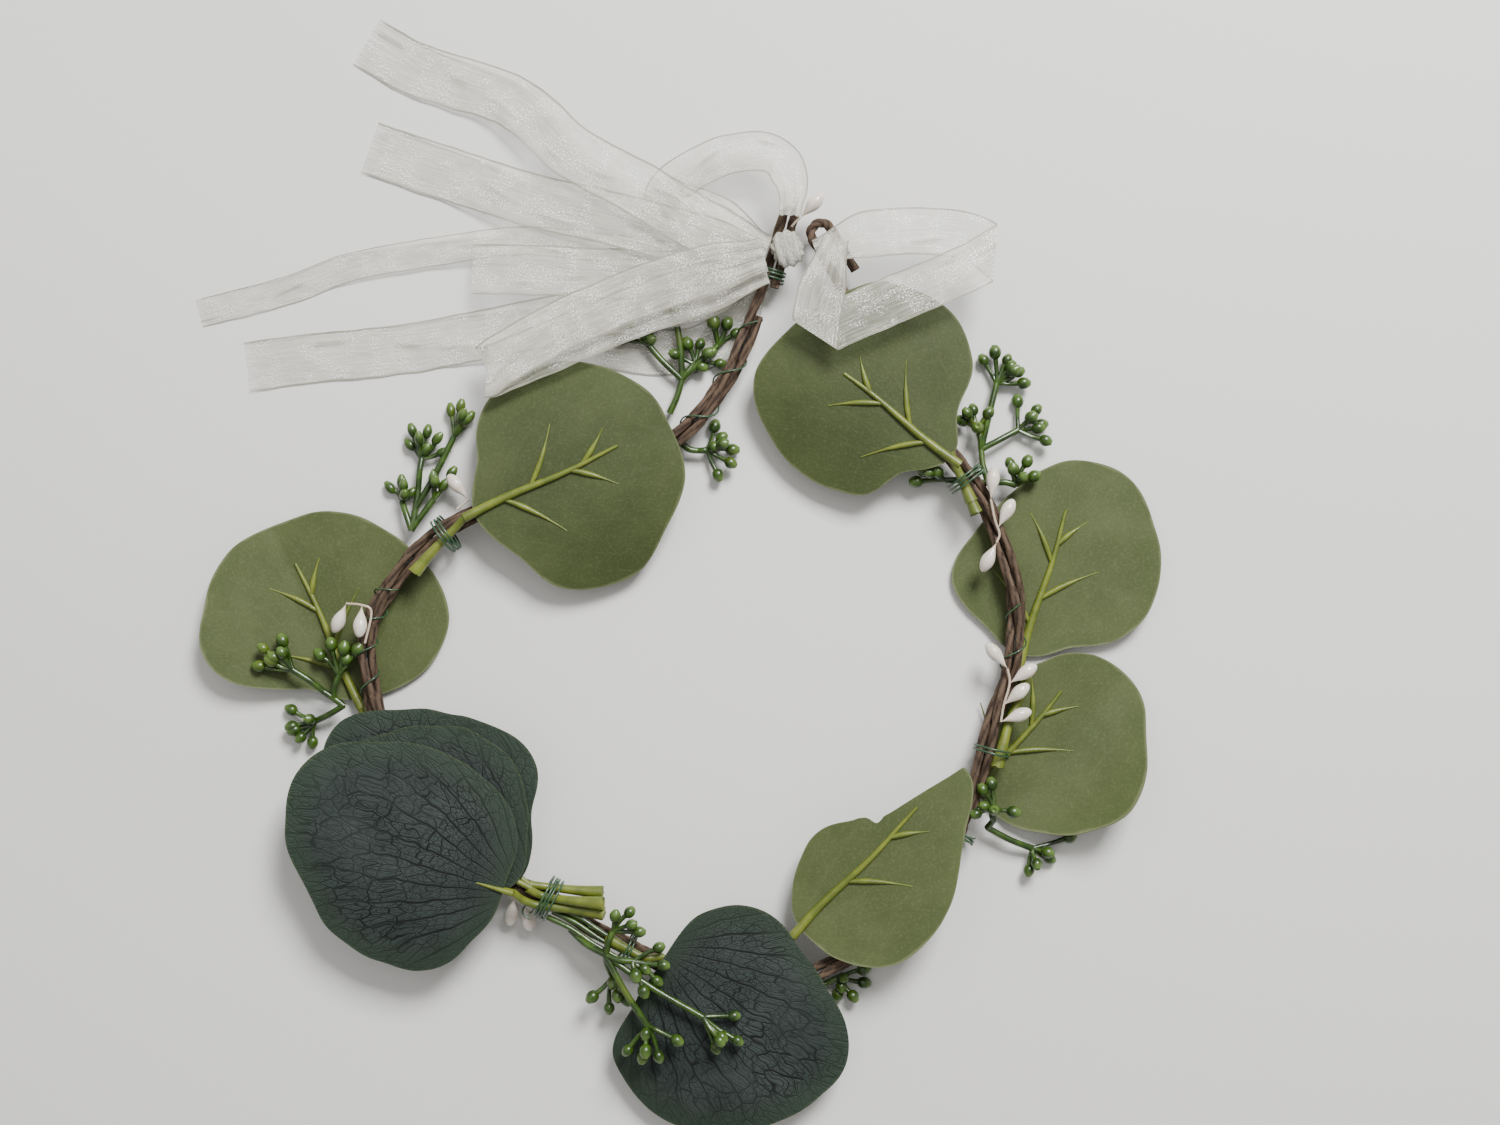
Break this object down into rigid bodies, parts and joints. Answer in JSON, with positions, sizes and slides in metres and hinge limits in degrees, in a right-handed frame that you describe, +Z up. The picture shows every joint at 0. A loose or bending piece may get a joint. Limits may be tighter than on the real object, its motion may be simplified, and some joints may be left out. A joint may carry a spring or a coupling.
{
  "type": "flower crown",
  "caption": "an open hoop of twisted vine for the head, hung with round eucalyptus leaves, berry sprays and stamen buds, tied with a translucent ribbon bow",
  "frame": {"origin": "The middle of the crown's footprint, ribbon tails included, at the level of the table that it lies on.", "axes": "+Z is up from the table, through the hoop. +Y runs from the front of the hoop, under the wearer's forehead leaves, towards the bow that closes it. +X is to the right when the crown is looked down on with the bow at the top."},
  "size_m": [0.2692, 0.3094, 0.0192],
  "materials": {
    "vine": "crinkled paper tape round a cord, matt",
    "steel_wire": "plain drawn wire",
    "pale_leaf": "starched printed cloth, matt, the underside of the leaf facing up",
    "dark_leaf": "starched printed cloth with a netted vein print, matt",
    "rib": "waxy moulded plastic",
    "berry": "glossy lacquered",
    "bud": "pearly lacquered",
    "binding_wire": "lacquered floral wire",
    "ribbon": "translucent organza"
  },
  "bodies": {
    "crown": {"berry_spray_bottom": "berry", "berry_spray_bottom_right": "berry", "berry_spray_left": "berry", "berry_spray_right_low": "berry", "berry_spray_right_top": "berry", "berry_spray_top": "berry", "berry_spray_top_left": "berry", "binding_wire_bottom": "binding_wire", "binding_wire_bottom_left": "binding_wire", "binding_wire_eye": "binding_wire", "binding_wire_front": "binding_wire", "binding_wire_right_low": "binding_wire", "binding_wire_right_mid": "binding_wire", "binding_wire_top_left": "binding_wire", "binding_wire_top_right": "binding_wire", "bud_pick_eye": "bud", "bud_pick_front": "bud", "bud_pick_left": "bud", "bud_pick_right_lower": "bud", "bud_pick_right_upper": "bud", "bud_pick_top_left": "bud", "hoop_core_wire": "steel_wire", "leaf_bottom": "dark_leaf", "leaf_dark_back": "dark_leaf", "leaf_dark_middle": "dark_leaf", "leaf_top_right": "pale_leaf", "rib_bottom": "rib", "rib_dark_back": "rib", "rib_dark_middle": "rib", "rib_top_right": "rib", "ribbon_knot": "ribbon", "ribbon_loop_lower": "ribbon", "ribbon_loop_right": "ribbon", "ribbon_loop_upper": "ribbon", "ribbon_tail_lower": "ribbon", "ribbon_tail_middle": "ribbon", "ribbon_tail_narrow": "ribbon", "ribbon_tail_short": "ribbon", "ribbon_tail_upper": "ribbon", "stem_bottom_right": "rib", "stem_dark_front": "rib", "stem_left": "rib", "stem_right_lower": "rib", "stem_right_upper": "rib", "stem_top_left": "rib", "vine_strand_1": "vine", "vine_strand_2": "vine", "vine_strand_3": "vine"},
    "top_left_leaf": {"leaf_top_left": "pale_leaf", "rib_top_left": "rib"},
    "left_leaf": {"leaf_left": "pale_leaf", "rib_left": "rib"},
    "dark_front_leaf": {"leaf_dark_front": "dark_leaf", "rib_dark_front": "rib"},
    "bottom_right_leaf": {"leaf_bottom_right": "pale_leaf", "rib_bottom_right": "rib"},
    "right_lower_leaf": {"leaf_right_lower": "pale_leaf", "rib_right_lower": "rib"},
    "right_upper_leaf": {"leaf_right_upper": "pale_leaf", "rib_right_upper": "rib"}
  },
  "joints": [
    {"name": "top_left_leaf_bend", "type": "hinge", "parent": "crown", "child": "top_left_leaf", "pos_m": [-0.05753, 0.01499, 0.012], "axis": [0.4195, -0.9078, 0], "range_deg": [0, 4]},
    {"name": "left_leaf_bend", "type": "hinge", "parent": "crown", "child": "left_leaf", "pos_m": [-0.08793, -0.03782, 0.0031], "axis": [0.9114, 0.4115, 0], "range_deg": [-20, 0]},
    {"name": "dark_front_leaf_bend", "type": "hinge", "parent": "crown", "child": "dark_front_leaf", "pos_m": [-0.0442, -0.08712, 0.015], "axis": [0.2807, 0.9598, 0], "range_deg": [0, 30]},
    {"name": "bottom_right_leaf_bend", "type": "hinge", "parent": "crown", "child": "bottom_right_leaf", "pos_m": [0.0322, -0.09982, 0.0103], "axis": [0.7157, -0.6984, 0], "range_deg": [0, 35]},
    {"name": "right_lower_leaf_bend", "type": "hinge", "parent": "crown", "child": "right_lower_leaf", "pos_m": [0.0819, -0.06301, 0.0029], "axis": [0.7615, -0.6481, 0], "range_deg": [-20, 0]},
    {"name": "right_upper_leaf_bend", "type": "hinge", "parent": "crown", "child": "right_upper_leaf", "pos_m": [0.09542, -0.02591, 0.0032], "axis": [0.9553, -0.2957, 0], "range_deg": [-12, 0]}
  ]
}
